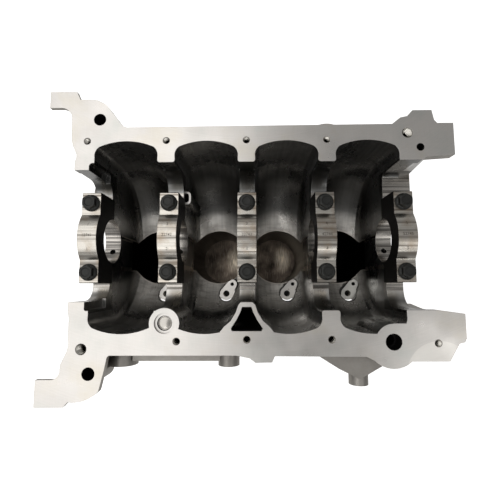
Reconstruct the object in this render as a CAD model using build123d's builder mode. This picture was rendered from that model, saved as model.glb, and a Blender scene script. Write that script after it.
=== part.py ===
from build123d import *
import os

os.makedirs("parts", exist_ok=True)

# Four-cylinder engine block standing on its head deck, pan rail up, as in the photograph.
# Origin: on the head deck, straight under the crank axis at the middle main bearing.
# +X along the crank from the transmission end to the timing end, +Z from the deck to the pan rail.

# Main dimensions, in millimetres
bore_pitch = 90.0
bore_radius = 41.0
bore_offset = -12.0
deck_height = 225.0
skirt_depth = 57.0
tunnel_radius = 27.5
rear_plane = -223.4
front_plane = 231.8

# Crankcase
skirt_half = 113.0
bay_half_width = 35.3
bay_reach = 106.5
bay_shoulder_reach = 100.1
bay_side_reach = 88.0
bay_center_drop = 5.0
rail_depth = 12.0
arm_depth = 7.0
ear_depth = 5.0
shoulder_rise = 4.0
end_wall = 1.0
gusset_depth = 14.0

# Open space over the webs: far reach, near reach and the corner radius of each
rear_window = (73.4, 72.6, 19.0, 17.0)
middle_window = (82.0, 82.0, 25.0, 25.0)
front_window = (83.1, 82.0, 5.0, 22.0)

# Reliefs beside the lugs of the first web: centre, length, width and corner radius of each
reliefs = [((-168.5, 60.0), 15.0, 43.0, 4.0), ((-169.5, -72.0), 10.5, 20.0, 2.0)]
relief_depth = 44.0

# Lugs of the rail between the bays, each at a web on the far (1) or near (-1) side
lugs = [(-bore_pitch, 1), (0.0, 1), (bore_pitch, 1), (bore_pitch, -1)]
lug_reach = middle_window[0]
lug_corner = 2.5
lug_corner_depth = 28.0

# Barrels and water jacket
liner_wall = 2.5
barrel_wall = 4.0
jacket_gap = 10.0
outer_wall = 6.0
jacket_depth = 95.0
liner_length = 112.0
bore_cut_top = 153.0
barrel_top = 165.0
head_bolt_reach = 49.0
head_bolt_radius = 5.1
head_bolt_depth = 90.0
head_bolt_boss = 10.0

# Main bearing caps and their bolts
cap_width = 21.5
cap_half_length = 52.5
cap_pad_height = 39.0
cap_crown_height = 48.0
cap_crown_half = 26.0
cap_bolt_reach = 40.0
cap_bolt_radius = 5.0
cap_bolt_clearance = 0.5
thread_clearance = 0.05
cap_bolt_engagement = 45.0
cap_thread_runout = 6.0
cap_bolt_flange_radius = 9.75
cap_bolt_flange_height = 1.8
cap_bolt_hex_width = 14.0
cap_bolt_head_height = 8.6
register_clearance = 0.03

# Threaded holes, at the major radius of their threads
thread_m8 = 4.0
thread_m10 = 5.0
thread_m12 = 6.0

# Derived positions
rail_z = deck_height + skirt_depth
web_x = [bore_pitch * (i - 2) for i in range(5)]
cylinder_x = [bore_pitch * (i - 1.5) for i in range(4)]
bore_centers = [(x, bore_offset) for x in cylinder_x]
web_half = bore_pitch / 2 - bay_half_width
end_face = web_x[4] + web_half + end_wall
liner_outer = bore_radius + liner_wall
barrel_outer = liner_outer + barrel_wall
jacket_outer = barrel_outer + jacket_gap
deck_end = cylinder_x[3] + jacket_outer + outer_wall
deck_half = jacket_outer + outer_wall
bay_axis_z = deck_height - bay_center_drop
window_floor = deck_height + shoulder_rise

# Holes in the pan rail and its arms
rail_bolts_far = [(-179.1, 106.8), (-90.0, 107.0), (0.0, 107.0), (90.0, 107.0)]
rail_bolts_near = [(-74.9, -114.2), (0.0, -112.5), (90.0, -112.5), (201.9, -116.5)]
rail_boss_radius = 8.5
rail_bulge = (90.0, 97.0, 28.5)
rail_boss_depth = 34.0
rail_hole_depth = 28.0
arm_holes = [(-165.7, 132.0), (-167.5, -147.7)]
arm_hole_radius = 6.9
arm_boss_radius = 12.0
arm_boss_depth = 39.0
plain_hole = (193.9, 97.6)
plain_hole_radius = 4.4
large_taps = [(180.2, 114.3), (-176.2, -122.2)]
cup_center = (-88.3, -95.3)
cup_radius = 8.0
cup_seat_radius = 10.8
cup_seat_depth = 2.5
cup_length = 9.0
cup_boss_radius = 16.3
port_center = (155.2, -115.1)
port_boss_radius = 19.0
port_fill = (7.7, 9.5, 15.4, 19.6)
tall_boss_depth = 75.0

# Oil drain beside the middle web, and the vent duct beside the second web
drain_column = (44.0, 37.0, -91.0, 8.0)
drain_outline = [(5.0, -78.1), (6.8, -83.4), (11.0, -91.8), (17.0, -100.7), (15.7, -103.6)]
drain_wall = [
    (6.2, -73.2), (9.0, -75.9), (11.8, -84.0), (17.3, -93.0), (24.4, -99.1), (28.4, -104.0),
    (28.0, -112.0),
]
vent_center = (-82.0, 57.5)
vent_width = 12.0
vent_rim_width = 17.0
vent_duct_width = 21.0
vent_top = deck_height - 8

# Piston-cooling jet pads on the bay floors, from each cylinder's axis
jet_pad_z = 140.0
jet_pad_root = 118.0
jet_pad_margin = 1.2
jet_bolt = (12.0, -68.2)
jet_bolt_radius = 4.5
jet_bolt_boss = 9.5
jet_pin = (20.7, -54.3)
jet_pin_radius = 2.6
jet_pin_boss = 7.0
jet_hole_depth = 10.0

# Main oil gallery along the near side, and the oil hole of each bearing saddle
gallery_y = -114.0
gallery_z = 165.0
gallery_radius = 6.0
gallery_wall = 6.0
gallery_plug_radius = 8.0
gallery_plug_length = 9.0
oil_hole_radius = 3.6

# Transmission bosses below the ears, and the dowels that locate the transmission
trans_bosses = [(-84.0, 100.0), (60.0, 100.0), (-72.0, 25.0), (48.0, 25.0)]
trans_boss_radius = 13.0
trans_flange_ends = [(-100.0, 166.0), (84.0, 166.0)]
trans_flange_width = 9.0
trans_flange_depth = 14.0
trans_boss_depth = 40.0
trans_thread_depth = 20.0
ear_holes = [(-168.0, 268.0), (159.5, 270.0)]
dowel_radius = 8.0
dowel_wall = 1.8
dowel_length = 20.0
dowel_stand_out = 9.0

# Front cover face
cover_bolts_upper = [(-98.0, 205.0), (98.0, 205.0)]
cover_bolts_lower = [(-64.0, 40.0), (40.0, 40.0)]
cover_dowels = [(-64.0, 100.0), (40.0, 100.0)]
cover_dowel_radius = 4.0
cover_dowel_length = 18.0
cover_dowel_seat = 10.0
cover_thread_depth = 22.0

# Bosses on the near side for brackets: x, height above the deck, outer end and radius
side_bosses = [(-146.5, 238.0, 147.0, 17.0), (-21.5, 243.0, 147.0, 12.3), (130.0, 236.0, 170.5, 11.2)]
side_boss_root = 108.0
side_thread_depth = 22.0
side_rib = (-132.0, -24.0, 141.4, 238.0, 250.0)
bracket_plate_z = 255.0
bracket_plate_depth = 9.0


def bay_outline():
    """Half the outline of a bay, from the crank axis out to its scallop in the rail."""
    side = bay_half_width
    Line((-side, 0), (-side, bay_side_reach))
    ThreePointArc((-side, bay_side_reach), (1.1 - side, 95.6), (4.9 - side, bay_shoulder_reach))
    ThreePointArc((4.9 - side, bay_shoulder_reach), (0, bay_reach), (side - 4.9, bay_shoulder_reach))
    ThreePointArc((side - 4.9, bay_shoulder_reach), (side - 1.1, 95.6), (side, bay_side_reach))
    Line((side, bay_side_reach), (side, 0))


# One crankcase bay: the pan-rail scallop, carried round below the crank axis
with BuildPart() as bay_space:
    with BuildSketch(Plane.XY.offset(bay_axis_z)):
        with BuildLine():
            bay_outline()
            Line((bay_half_width, 0), (-bay_half_width, 0))
        make_face()
    revolve(axis=Axis((0, 0, bay_axis_z), (-1, 0, 0)), revolution_arc=180)
    with BuildSketch(Plane.XY.offset(bay_axis_z)):
        with BuildLine():
            bay_outline()
            mirror(about=Plane.XZ)
        make_face()
    extrude(amount=rail_z - bay_axis_z + 1)

# Outline of a jet pad, from its cylinder's axis
with BuildSketch() as jet_pad:
    with BuildLine():
        Polyline((20.06, -73.24), (26.64, -58), (14.76, -50.6), (3.94, -63.16), close=True)
    make_face()
    with Locations(jet_bolt):
        Circle(jet_bolt_boss)
    with Locations(jet_pin):
        Circle(jet_pin_boss)

# The block casting: one solid with webs, barrels, jacket, rails and bosses
with BuildPart() as block_casting:
    # Crankcase skirt, round below the crank axis
    with BuildSketch(Plane.YZ.offset(-end_face)):
        with BuildLine():
            Line((-skirt_half, rail_z), (-skirt_half, deck_height))
            ThreePointArc(
                (-skirt_half, deck_height), (0, deck_height - skirt_half),
                (skirt_half, deck_height),
            )
            Polyline((skirt_half, deck_height), (skirt_half, rail_z), (-skirt_half, rail_z))
        make_face()
    extrude(amount=2 * end_face)

    # Barrel block up from the head deck, the drain column and the vent duct
    with BuildSketch():
        with Locations((0, bore_offset)):
            RectangleRounded(2 * deck_end, 2 * deck_half, 12)
        with Locations(vent_center):
            RectangleRounded(vent_duct_width, vent_duct_width, 6)
    extrude(amount=barrel_top)
    with BuildSketch():
        drain_length, drain_width, drain_y, drain_corner = drain_column
        with Locations((0, drain_y)):
            RectangleRounded(drain_length, drain_width, drain_corner)
    extrude(amount=rail_z - 1)

    # Far and near pan rails with their arms
    with BuildSketch(Plane.XY.offset(rail_z)):
        with BuildLine():
            Polyline((-188, 150), (-189.5, 156.1), (-176, 156.1))
            ThreePointArc((-176, 156.1), (-163.2, 152.3), (-153.5, 142.5))
            Line((-153.5, 142.5), (-141, 126.5))
            ThreePointArc((-141, 126.5), (-138.5, 123.9), (-134.7, 122.6))
            Polyline(
                (-134.7, 122.6), (163.6, 124.6), (172.8, 132), (183, 134.2), (186.9, 140.5),
                (208.4, 140.6),
            )
            Polyline(
                (208.4, 140.6), (210.7, 129.1), (213.9, 125.4), (front_plane, 125.4),
                (front_plane, 88.8),
            )
            Polyline((front_plane, 88.8), (201, 86.8), (190.5, 80), (-169, 80), (-176, 70), (-192.3, 70))
            Polyline(
                (-192.3, 70), (-192.1, 83.6), (-190.2, 90.1), (-195.2, 101.3), (-197.1, 109.1),
                (-197.8, 133),
            )
            Line((-197.8, 133), (-188, 150))
        make_face()
        with Locations(rail_bulge[:2]):
            Circle(rail_bulge[2])
        with BuildLine():
            Polyline(
                (-190.1, -119.7), (-166, -128.8), (-11.2, -128.9), (2.9, -131.7), (9, -136.3),
                (26.6, -136),
            )
            Polyline((26.6, -136), (29.6, -129.6), (126, -130.3), (134.5, -134.5))
            ThreePointArc((134.5, -134.5), (155.2, -142.7), (173.5, -135.2))
            Polyline(
                (173.5, -135.2), (213.1, -135.2), (224.1, -116.9), (229.7, -115.6),
                (front_plane, -111.7),
            )
            Polyline((front_plane, -111.7), (front_plane, -85.8), (190.5, -80), (-169, -80), (-176, -70))
            Polyline((-176, -70), (-192.4, -70), (-192.2, -82.6), (-190.2, -92), (-190.1, -119.7))
        make_face()
    extrude(amount=-rail_depth)

    # Thinner near arm, with a rounded inner corner where it leaves the rail
    with BuildSketch(Plane.XY.offset(rail_z)):
        with BuildLine():
            Polyline((-190.1, -118), (-191.5, -124.6), (-197.4, -137.4), (-198, -144.3))
            Polyline((-198, -144.3), (-192, -160), (-187.8, -176.4))
            ThreePointArc((-187.8, -176.4), (-168.5, -174.1), (-155.9, -165.5))
            Polyline((-155.9, -165.5), (-150.6, -143), (-148.6, -132))
            ThreePointArc((-148.6, -132), (-147.3, -129.6), (-143.4, -128.7))
            Polyline((-143.4, -128.7), (-143.4, -118), (-190.1, -118))
        make_face()
    extrude(amount=-arm_depth)

    # Transmission ears: a thin plate, and a body that narrows below it
    with BuildSketch(Plane.XY.offset(rail_z)):
        with BuildLine():
            Polyline(
                (-208.5, 146.2), (rear_plane, 146.2), (rear_plane, 165.4), (-193.3, 165.4),
                (-186, 149), (-197.8, 132),
            )
            ThreePointArc((-197.8, 132), (-200.9, 142), (-208.5, 146.2))
        make_face()
        with BuildLine():
            Polyline(
                (-206.2, -153.7), (rear_plane, -153.7), (rear_plane, -181.9), (-192.6, -181.7),
                (-187.8, -176.4),
            )
            Polyline((-187.8, -176.4), (-186, -150), (-198, -142))
            ThreePointArc((-198, -142), (-200.6, -150.8), (-206.2, -153.7))
        make_face()
    extrude(amount=-ear_depth)
    for near_y, far_y, low_near_y, low_far_y in (
        (149, 165.4, 161, 165.4), (-181.9, -155.1, -181.9, -160.6),
    ):
        with BuildSketch(Plane.XY.offset(rail_z - ear_depth)):
            with BuildLine():
                Polyline(
                    (rear_plane, near_y), (-197, near_y), (-197, far_y), (rear_plane, far_y),
                    close=True,
                )
            make_face()
        with BuildSketch(Plane.XY.offset(rail_z - 5 * ear_depth)):
            with BuildLine():
                Polyline(
                    (rear_plane, low_near_y), (-207, low_near_y), (-207, low_far_y),
                    (rear_plane, low_far_y), close=True,
                )
            make_face()
        loft()

    # Main gallery rib, and an outer rib on either side of each web
    with BuildSketch(Plane.YZ.offset(-end_face)):
        with Locations((gallery_y, gallery_z)):
            Circle(gallery_radius + gallery_wall)
        with Locations((gallery_y + 15, gallery_z)):
            Rectangle(30, 2 * (gallery_radius + gallery_wall))
    extrude(amount=2 * end_face)
    for x in web_x:
        with BuildSketch(Plane.YZ.offset(x - 3)):
            for side in (-1, 1):
                with BuildLine():
                    Polyline((side * 95, rail_z - 4), (side * 121, rail_z - 4), (side * 117, 215))
                    Polyline(
                        (side * 117, 215), (bore_offset + side * 74, 110),
                        (bore_offset + side * 66, 12),
                    )
                    Polyline(
                        (bore_offset + side * 66, 12), (bore_offset + side * 40, 12),
                        (side * 45, 120),
                    )
                    Line((side * 45, 120), (side * 95, rail_z - 4))
                make_face()
    extrude(amount=6)

    # Gussets that carry the timing-end arms down to the end web
    with BuildSketch(Plane.YZ.offset(end_face - 1)):
        with BuildLine():
            Polyline(
                (57, 170), (57, window_floor), (84, window_floor), (89, 271), (110, 271),
                (112, 200), (98, 150), close=True,
            )
        make_face()
        with BuildLine():
            Polyline((-79, 215), (-83, 245), (-84, 271), (-112, 271), (-112, 200), (-98, 170), close=True)
        make_face()
    extrude(amount=gusset_depth + 1)

    # Bosses and flange in the transmission plane
    with BuildSketch(Plane.YZ.offset(rear_plane)):
        with Locations(*trans_bosses):
            Circle(trans_boss_radius)
    extrude(amount=trans_boss_depth)
    with BuildSketch(Plane.YZ.offset(rear_plane)):
        with BuildLine():
            Polyline(
                trans_flange_ends[0], trans_bosses[0], trans_bosses[2], trans_bosses[3],
                trans_bosses[1], trans_flange_ends[1],
            )
        trace(line_width=trans_flange_width)
    extrude(amount=trans_flange_depth)

    # Bosses on the near side, with the rib between two of them and the plate over the third
    for x, height, outer, radius in side_bosses:
        with BuildSketch(Plane.XZ.offset(outer)):
            with Locations((x, height)):
                Circle(radius)
        extrude(amount=side_boss_root - outer)
    rib_start, rib_end, rib_outer, rib_low, rib_high = side_rib
    with BuildSketch(Plane.XY.offset(rib_low)):
        with Locations(((rib_start + rib_end) / 2, -(rib_outer + side_boss_root) / 2)):
            Rectangle(rib_end - rib_start, rib_outer - side_boss_root)
    extrude(amount=rib_high - rib_low)
    with BuildSketch(Plane.XY.offset(bracket_plate_z)):
        with BuildLine():
            Polyline(
                (82, -112), (82, -136), (103.3, -149.2), (126.4, -160.6), (152.7, -145.9),
                (160, -112), close=True,
            )
        make_face()
    extrude(amount=-bracket_plate_depth)

    # Bosses under the holes of the rails and arms
    with BuildSketch(Plane.XY.offset(rail_z - 1)):
        with Locations(*rail_bolts_far[1:], *rail_bolts_near, plain_hole):
            Circle(rail_boss_radius)
    extrude(amount=-rail_boss_depth)
    with BuildSketch(Plane.XY.offset(rail_z - 1)):
        with Locations(*arm_holes, *large_taps, rail_bolts_far[0]):
            Circle(arm_boss_radius)
    extrude(amount=-arm_boss_depth)

    # Four bays, and the reliefs beside the lugs of the first web
    for x in cylinder_x:
        add(bay_space.part.moved(Location((x, 0, 0))), mode=Mode.SUBTRACT)
    with BuildSketch(Plane.XY.offset(rail_z)):
        for center, length, width, corner in reliefs:
            with Locations(center):
                RectangleRounded(length, width, corner)
    extrude(amount=-relief_depth, mode=Mode.SUBTRACT)

    # Open space over the webs, with a shoulder beside each cap
    windows = ((-240, -168, rear_window), (-168, 168, middle_window), (168, 240, front_window))
    for low, high, (far_reach, near_reach, far_corner, near_corner) in windows:
        with BuildSketch(Plane.YZ.offset(low)) as window:
            with Locations(((far_reach - near_reach) / 2, window_floor + 40)):
                Rectangle(far_reach + near_reach, 80)
            lower = window.vertices().group_by(Axis.Y)[0].sort_by(Axis.X)
            fillet(lower[0], near_corner)
            lower = window.vertices().group_by(Axis.Y)[0].sort_by(Axis.X)
            fillet(lower[-1], far_corner)
        extrude(amount=high - low, mode=Mode.SUBTRACT)

    # Rounded corners on the lugs that stand between the bays
    with BuildSketch(Plane.XY.offset(rail_z)):
        for x, side in lugs:
            with Locations((x, side * (lug_reach + lug_corner / 2))):
                Rectangle(2 * web_half, lug_corner)
            with Locations((x, side * (lug_reach + 5 * lug_corner))):
                RectangleRounded(2 * web_half, 10 * lug_corner, lug_corner - 0.01, mode=Mode.SUBTRACT)
    extrude(amount=-lug_corner_depth, mode=Mode.SUBTRACT)

    # Metal that stands inside the bays: drain walls, round rail bosses, vent rim and jet pads
    with BuildSketch(Plane.XY.offset(rail_z)):
        with BuildLine():
            Polyline(*[(-x, y) for x, y in reversed(drain_wall)], *drain_wall, close=True)
        make_face()
        with Locations(cup_center):
            Circle(cup_boss_radius)
        with Locations(port_center):
            Circle(port_boss_radius)
            with Locations(port_fill[:2]):
                Rectangle(*port_fill[2:])
    extrude(amount=-tall_boss_depth)
    with BuildSketch(Plane.XY.offset(125)):
        with Locations(vent_center):
            RectangleRounded(vent_rim_width, vent_rim_width, 5)
    extrude(amount=vent_top - 125)
    for x in cylinder_x:
        with BuildSketch(Plane.XY.offset(jet_pad_z)):
            with Locations((x, 0)):
                add(jet_pad.sketch)
                offset(amount=jet_pad_margin)
        extrude(amount=jet_pad_z - jet_pad_root, mode=Mode.SUBTRACT)
        with BuildSketch(Plane.XY.offset(jet_pad_z)):
            with Locations((x, 0)):
                add(jet_pad.sketch)
        extrude(amount=jet_pad_root - jet_pad_z)

    # Cap registers and the crank tunnel
    with BuildSketch(Plane.YZ.offset(-240)):
        with Locations((0, deck_height + shoulder_rise / 2)):
            Rectangle(2 * (cap_half_length + register_clearance), shoulder_rise)
        with Locations((0, deck_height)):
            Circle(tunnel_radius)
    extrude(amount=480, mode=Mode.SUBTRACT)

    # Pockets for the cast-in liners, and the bores that run on into the bays
    with BuildSketch():
        with Locations(*bore_centers):
            Circle(liner_outer)
    extrude(amount=liner_length, mode=Mode.SUBTRACT)
    with BuildSketch():
        with Locations(*bore_centers):
            Circle(bore_radius)
    extrude(amount=bore_cut_top, mode=Mode.SUBTRACT)

    # Open-deck water jacket round the joined barrels, and the head bolt holes
    with BuildSketch():
        with Locations((0, bore_offset)):
            SlotCenterToCenter(cylinder_x[3] - cylinder_x[0], 2 * jacket_outer)
        with Locations(*bore_centers):
            Circle(barrel_outer, mode=Mode.SUBTRACT)
        with Locations((0, bore_offset)):
            Rectangle(cylinder_x[3] - cylinder_x[0], 34, mode=Mode.SUBTRACT)
            with GridLocations(bore_pitch, 2 * head_bolt_reach, 3, 2):
                Circle(head_bolt_boss, mode=Mode.SUBTRACT)
    extrude(amount=jacket_depth, mode=Mode.SUBTRACT)
    with BuildSketch():
        with Locations((0, bore_offset)):
            with GridLocations(bore_pitch, 2 * head_bolt_reach, 5, 2):
                Circle(head_bolt_radius)
    extrude(amount=head_bolt_depth, mode=Mode.SUBTRACT)

    # Drain and vent passages from the deck
    with BuildSketch(Plane.XY.offset(-1)):
        with BuildLine():
            Polyline(*drain_outline, *[(-x, y) for x, y in reversed(drain_outline)], close=True)
        make_face()
    extrude(amount=rail_z + 2, mode=Mode.SUBTRACT)
    with BuildSketch(Plane.XY.offset(-1)):
        with Locations(vent_center):
            RectangleRounded(vent_width, vent_width, 3.5)
    extrude(amount=vent_top + 2, mode=Mode.SUBTRACT)

    # Threaded holes for the cap bolts, and the oil holes in the bearing saddles
    with BuildSketch(Plane.XY.offset(deck_height + 1)):
        with GridLocations(bore_pitch, 2 * cap_bolt_reach, 5, 2):
            Circle(cap_bolt_radius + thread_clearance)
    extrude(amount=-cap_bolt_engagement - cap_thread_runout, mode=Mode.SUBTRACT)
    for x in web_x:
        with BuildSketch(Plane(origin=(x, 0, deck_height), x_dir=(1, 0, 0), z_dir=(0, -0.4, -0.917))):
            Circle(oil_hole_radius)
    extrude(amount=60, mode=Mode.SUBTRACT)

    # Holes in the pan rail and its arms
    with BuildSketch(Plane.XY.offset(rail_z)):
        with Locations(*rail_bolts_far, *rail_bolts_near):
            Circle(thread_m8)
        with Locations(*arm_holes):
            Circle(arm_hole_radius)
        with Locations(*large_taps):
            Circle(thread_m12)
        with Locations(plain_hole):
            Circle(plain_hole_radius)
    extrude(amount=-rail_hole_depth, mode=Mode.SUBTRACT)
    with Locations((*cup_center, rail_z)):
        CounterBoreHole(cup_radius, cup_seat_radius, cup_seat_depth, depth=40)
    with Locations((*port_center, rail_z)):
        CounterBoreHole(6.6, 8.7, 16, depth=50)

    # Jet pad holes
    with BuildSketch(Plane.XY.offset(jet_pad_z)):
        for x in cylinder_x:
            with Locations((x + jet_bolt[0], jet_bolt[1])):
                Circle(jet_bolt_radius)
            with Locations((x + jet_pin[0], jet_pin[1])):
                Circle(jet_pin_radius)
    extrude(amount=-jet_hole_depth, mode=Mode.SUBTRACT)

    # Oil gallery with a plug seat at each end
    with BuildSketch(Plane.YZ.offset(-end_face)):
        with Locations((gallery_y, gallery_z)):
            Circle(gallery_radius)
    extrude(amount=2 * end_face, mode=Mode.SUBTRACT)
    for start, step in ((-end_face, 1), (end_face, -1)):
        with BuildSketch(Plane.YZ.offset(start)):
            with Locations((gallery_y, gallery_z)):
                Circle(gallery_plug_radius)
        extrude(amount=step * gallery_plug_length, mode=Mode.SUBTRACT)

    # Threads and dowel seats in the transmission plane
    with BuildSketch(Plane.YZ.offset(rear_plane)):
        with Locations(*trans_bosses, ear_holes[0]):
            Circle(thread_m12)
        with Locations(ear_holes[1]):
            Circle(thread_m10)
    extrude(amount=trans_thread_depth, mode=Mode.SUBTRACT)
    with BuildSketch(Plane.YZ.offset(rear_plane)):
        with Locations(*trans_bosses[2:]):
            Circle(dowel_radius)
    extrude(amount=dowel_length - dowel_stand_out, mode=Mode.SUBTRACT)

    # Front cover threads and dowel seats, and the threads in the side bosses
    with BuildSketch(Plane.YZ.offset(end_face + gusset_depth)):
        with Locations(*cover_bolts_upper):
            Circle(thread_m8)
    extrude(amount=-cover_thread_depth, mode=Mode.SUBTRACT)
    with BuildSketch(Plane.YZ.offset(deck_end)):
        with Locations(*cover_bolts_lower):
            Circle(thread_m8)
        with Locations(*cover_dowels):
            Circle(cover_dowel_radius)
    extrude(amount=-cover_dowel_seat, mode=Mode.SUBTRACT)
    for x, height, outer, radius in side_bosses:
        with BuildSketch(Plane.XZ.offset(outer)):
            with Locations((x, height)):
                Circle(thread_m12)
        extrude(amount=-side_thread_depth, mode=Mode.SUBTRACT)

block_casting.part.label = "block_casting"
export_step(block_casting.part, "parts/block_casting.step")

# Cast-in cylinder liners
for number, x in enumerate(cylinder_x, 1):
    with BuildPart() as cylinder_liner:
        with BuildSketch():
            with Locations((x, bore_offset)):
                Circle(liner_outer)
                Circle(bore_radius, mode=Mode.SUBTRACT)
        extrude(amount=liner_length)
    cylinder_liner.part.label = f"cylinder_liner_{number}"
    export_step(cylinder_liner.part, f"parts/cylinder_liner_{number}.step")

# Main bearing caps, each with a pad for either bolt and a round crown between them
for number, x in enumerate(web_x, 1):
    with BuildPart() as main_cap:
        with BuildSketch(Plane.YZ.offset(x - cap_width / 2)):
            with BuildLine():
                pad = deck_height + cap_pad_height
                crown = cap_crown_half
                Polyline((-crown, pad), (-cap_half_length, pad), (-cap_half_length, deck_height))
                Line((-cap_half_length, deck_height), (cap_half_length, deck_height))
                Polyline((cap_half_length, deck_height), (cap_half_length, pad), (crown, pad))
                ThreePointArc((crown, pad), (0, deck_height + cap_crown_height), (-crown, pad))
            make_face()
            with Locations((0, deck_height)):
                Circle(tunnel_radius, mode=Mode.SUBTRACT)
        extrude(amount=cap_width)
        corners = main_cap.edges().filter_by(Axis.X).group_by(Axis.Z)[-1]
        fillet(corners.filter_by(lambda edge: abs(edge.center().Y) < 30), 2.5)
        tops = main_cap.faces().filter_by(Axis.Z).group_by(Axis.Z)[-1]
        chamfer(tops.edges().filter_by(Axis.X), 1)
        with Locations((x, cap_bolt_reach, pad), (x, -cap_bolt_reach, pad)):
            Hole(cap_bolt_radius + cap_bolt_clearance)
    main_cap.part.label = f"main_cap_{number}"
    export_step(main_cap.part, f"parts/main_cap_{number}.step")

# A pair of flanged hexagon bolts for each cap
for number, x in enumerate(web_x, 1):
    seat = deck_height + cap_pad_height
    with BuildPart() as main_cap_bolts:
        with BuildSketch(Plane.XY.offset(deck_height - cap_bolt_engagement)):
            with Locations((x, cap_bolt_reach), (x, -cap_bolt_reach)):
                Circle(cap_bolt_radius)
        extrude(amount=cap_bolt_engagement + cap_pad_height)
        with BuildSketch(Plane.XY.offset(seat)):
            with Locations((x, cap_bolt_reach), (x, -cap_bolt_reach)):
                Circle(cap_bolt_flange_radius)
        extrude(amount=cap_bolt_flange_height)
        with BuildSketch(Plane.XY.offset(seat)):
            with Locations((x, cap_bolt_reach), (x, -cap_bolt_reach)):
                RegularPolygon(cap_bolt_hex_width / 2, 6, major_radius=False)
        extrude(amount=cap_bolt_head_height)
    main_cap_bolts.part.label = f"main_cap_bolts_{number}"
    export_step(main_cap_bolts.part, f"parts/main_cap_bolts_{number}.step")

# Cup plug pressed into the round boss of the near rail
with BuildPart() as rail_cup_plug:
    with BuildSketch(Plane.XY.offset(rail_z - 4)):
        with Locations(cup_center):
            Circle(cup_radius)
    extrude(amount=-cup_length)
    with BuildSketch(Plane.XY.offset(rail_z - 6)):
        with Locations(cup_center):
            Circle(cup_radius - 1.5)
    extrude(amount=-cup_length, mode=Mode.SUBTRACT)
rail_cup_plug.part.label = "rail_cup_plug"
export_step(rail_cup_plug.part, "parts/rail_cup_plug.step")

# Gallery plugs with a hexagon socket
for name, start, step in (("gallery_plug_rear", -end_face, 1), ("gallery_plug_front", end_face, -1)):
    with BuildPart() as gallery_plug:
        with BuildSketch(Plane.YZ.offset(start)):
            with Locations((gallery_y, gallery_z)):
                Circle(gallery_plug_radius)
        extrude(amount=step * gallery_plug_length)
        with BuildSketch(Plane.YZ.offset(start)):
            with Locations((gallery_y, gallery_z)):
                RegularPolygon(4, 6, major_radius=False)
        extrude(amount=step * 5, mode=Mode.SUBTRACT)
    gallery_plug.part.label = name
    export_step(gallery_plug.part, f"parts/{name}.step")

# Hollow dowels for the transmission and solid ones for the front cover
for number, (y, z) in enumerate(trans_bosses[2:], 1):
    with BuildPart() as transmission_dowel:
        with BuildSketch(Plane.YZ.offset(rear_plane - dowel_stand_out)):
            with Locations((y, z)):
                Circle(dowel_radius)
                Circle(dowel_radius - dowel_wall, mode=Mode.SUBTRACT)
        extrude(amount=dowel_length)
    transmission_dowel.part.label = f"transmission_dowel_{number}"
    export_step(transmission_dowel.part, f"parts/transmission_dowel_{number}.step")
for number, (y, z) in enumerate(cover_dowels, 1):
    with BuildPart() as cover_dowel:
        with BuildSketch(Plane.YZ.offset(deck_end - cover_dowel_seat)):
            with Locations((y, z)):
                Circle(cover_dowel_radius)
        extrude(amount=cover_dowel_length)
    cover_dowel.part.label = f"cover_dowel_{number}"
    export_step(cover_dowel.part, f"parts/cover_dowel_{number}.step")
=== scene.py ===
"""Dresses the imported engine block: surfaces, threads, cap bolts, marks and a plain studio."""

import math

import bpy
import numpy as np
from mathutils import Matrix, Vector


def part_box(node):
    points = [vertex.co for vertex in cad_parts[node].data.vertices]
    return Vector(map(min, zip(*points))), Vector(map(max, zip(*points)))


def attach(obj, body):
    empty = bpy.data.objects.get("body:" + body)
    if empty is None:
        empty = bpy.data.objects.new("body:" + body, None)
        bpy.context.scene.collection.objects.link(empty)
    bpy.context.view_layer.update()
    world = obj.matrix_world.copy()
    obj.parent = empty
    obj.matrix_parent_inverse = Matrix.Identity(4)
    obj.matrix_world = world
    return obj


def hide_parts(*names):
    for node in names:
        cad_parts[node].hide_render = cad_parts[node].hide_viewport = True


bl_info = {
    "name": "Engine block dressing",
    "version": (1, 0, 0),
    "blender": (4, 5, 0),
    "location": "View3D > Sidebar > Engine block",
    "description": "Gives the engine block its surfaces, threads, cap bolts, marks and studio",
    "category": "Object",
}

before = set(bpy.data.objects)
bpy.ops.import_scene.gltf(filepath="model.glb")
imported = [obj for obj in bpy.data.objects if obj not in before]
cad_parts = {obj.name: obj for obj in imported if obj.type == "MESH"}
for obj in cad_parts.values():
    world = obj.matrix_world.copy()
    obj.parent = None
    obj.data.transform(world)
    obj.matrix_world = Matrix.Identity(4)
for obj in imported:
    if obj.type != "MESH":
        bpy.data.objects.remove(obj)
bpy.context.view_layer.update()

# Lengths in metres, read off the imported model
MM = 0.001
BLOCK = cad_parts["block_casting"]
RAIL_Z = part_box("block_casting")[1].z
REAR_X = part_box("block_casting")[0].x
CRANK_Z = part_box("main_cap_1")[0].z
BORE_X = [sum(c.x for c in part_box(f"cylinder_liner_{i}")) / 2 for i in range(1, 5)]
BORE_Y = sum(c.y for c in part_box("cylinder_liner_1")) / 2
BORE_RADIUS = 41 * MM
TUNNEL_RADIUS = 27.5 * MM
BAY_HALF_WIDTH = 35.3 * MM
BAY_AXIS_Z = CRANK_Z - 5 * MM
WEB_X = [sum(c.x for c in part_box(f"main_cap_{i}")) / 2 for i in range(1, 6)]
CAP_SEAT_Z = CRANK_Z + 39 * MM
CAP_BOLT_REACH = 40 * MM
CROWN_TOP = CRANK_Z + 48 * MM
CROWN_RADIUS = 42.06 * MM
JET_PAD_Z = 140 * MM
CUP_CENTER = (-88.3 * MM, -95.3 * MM)

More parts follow.
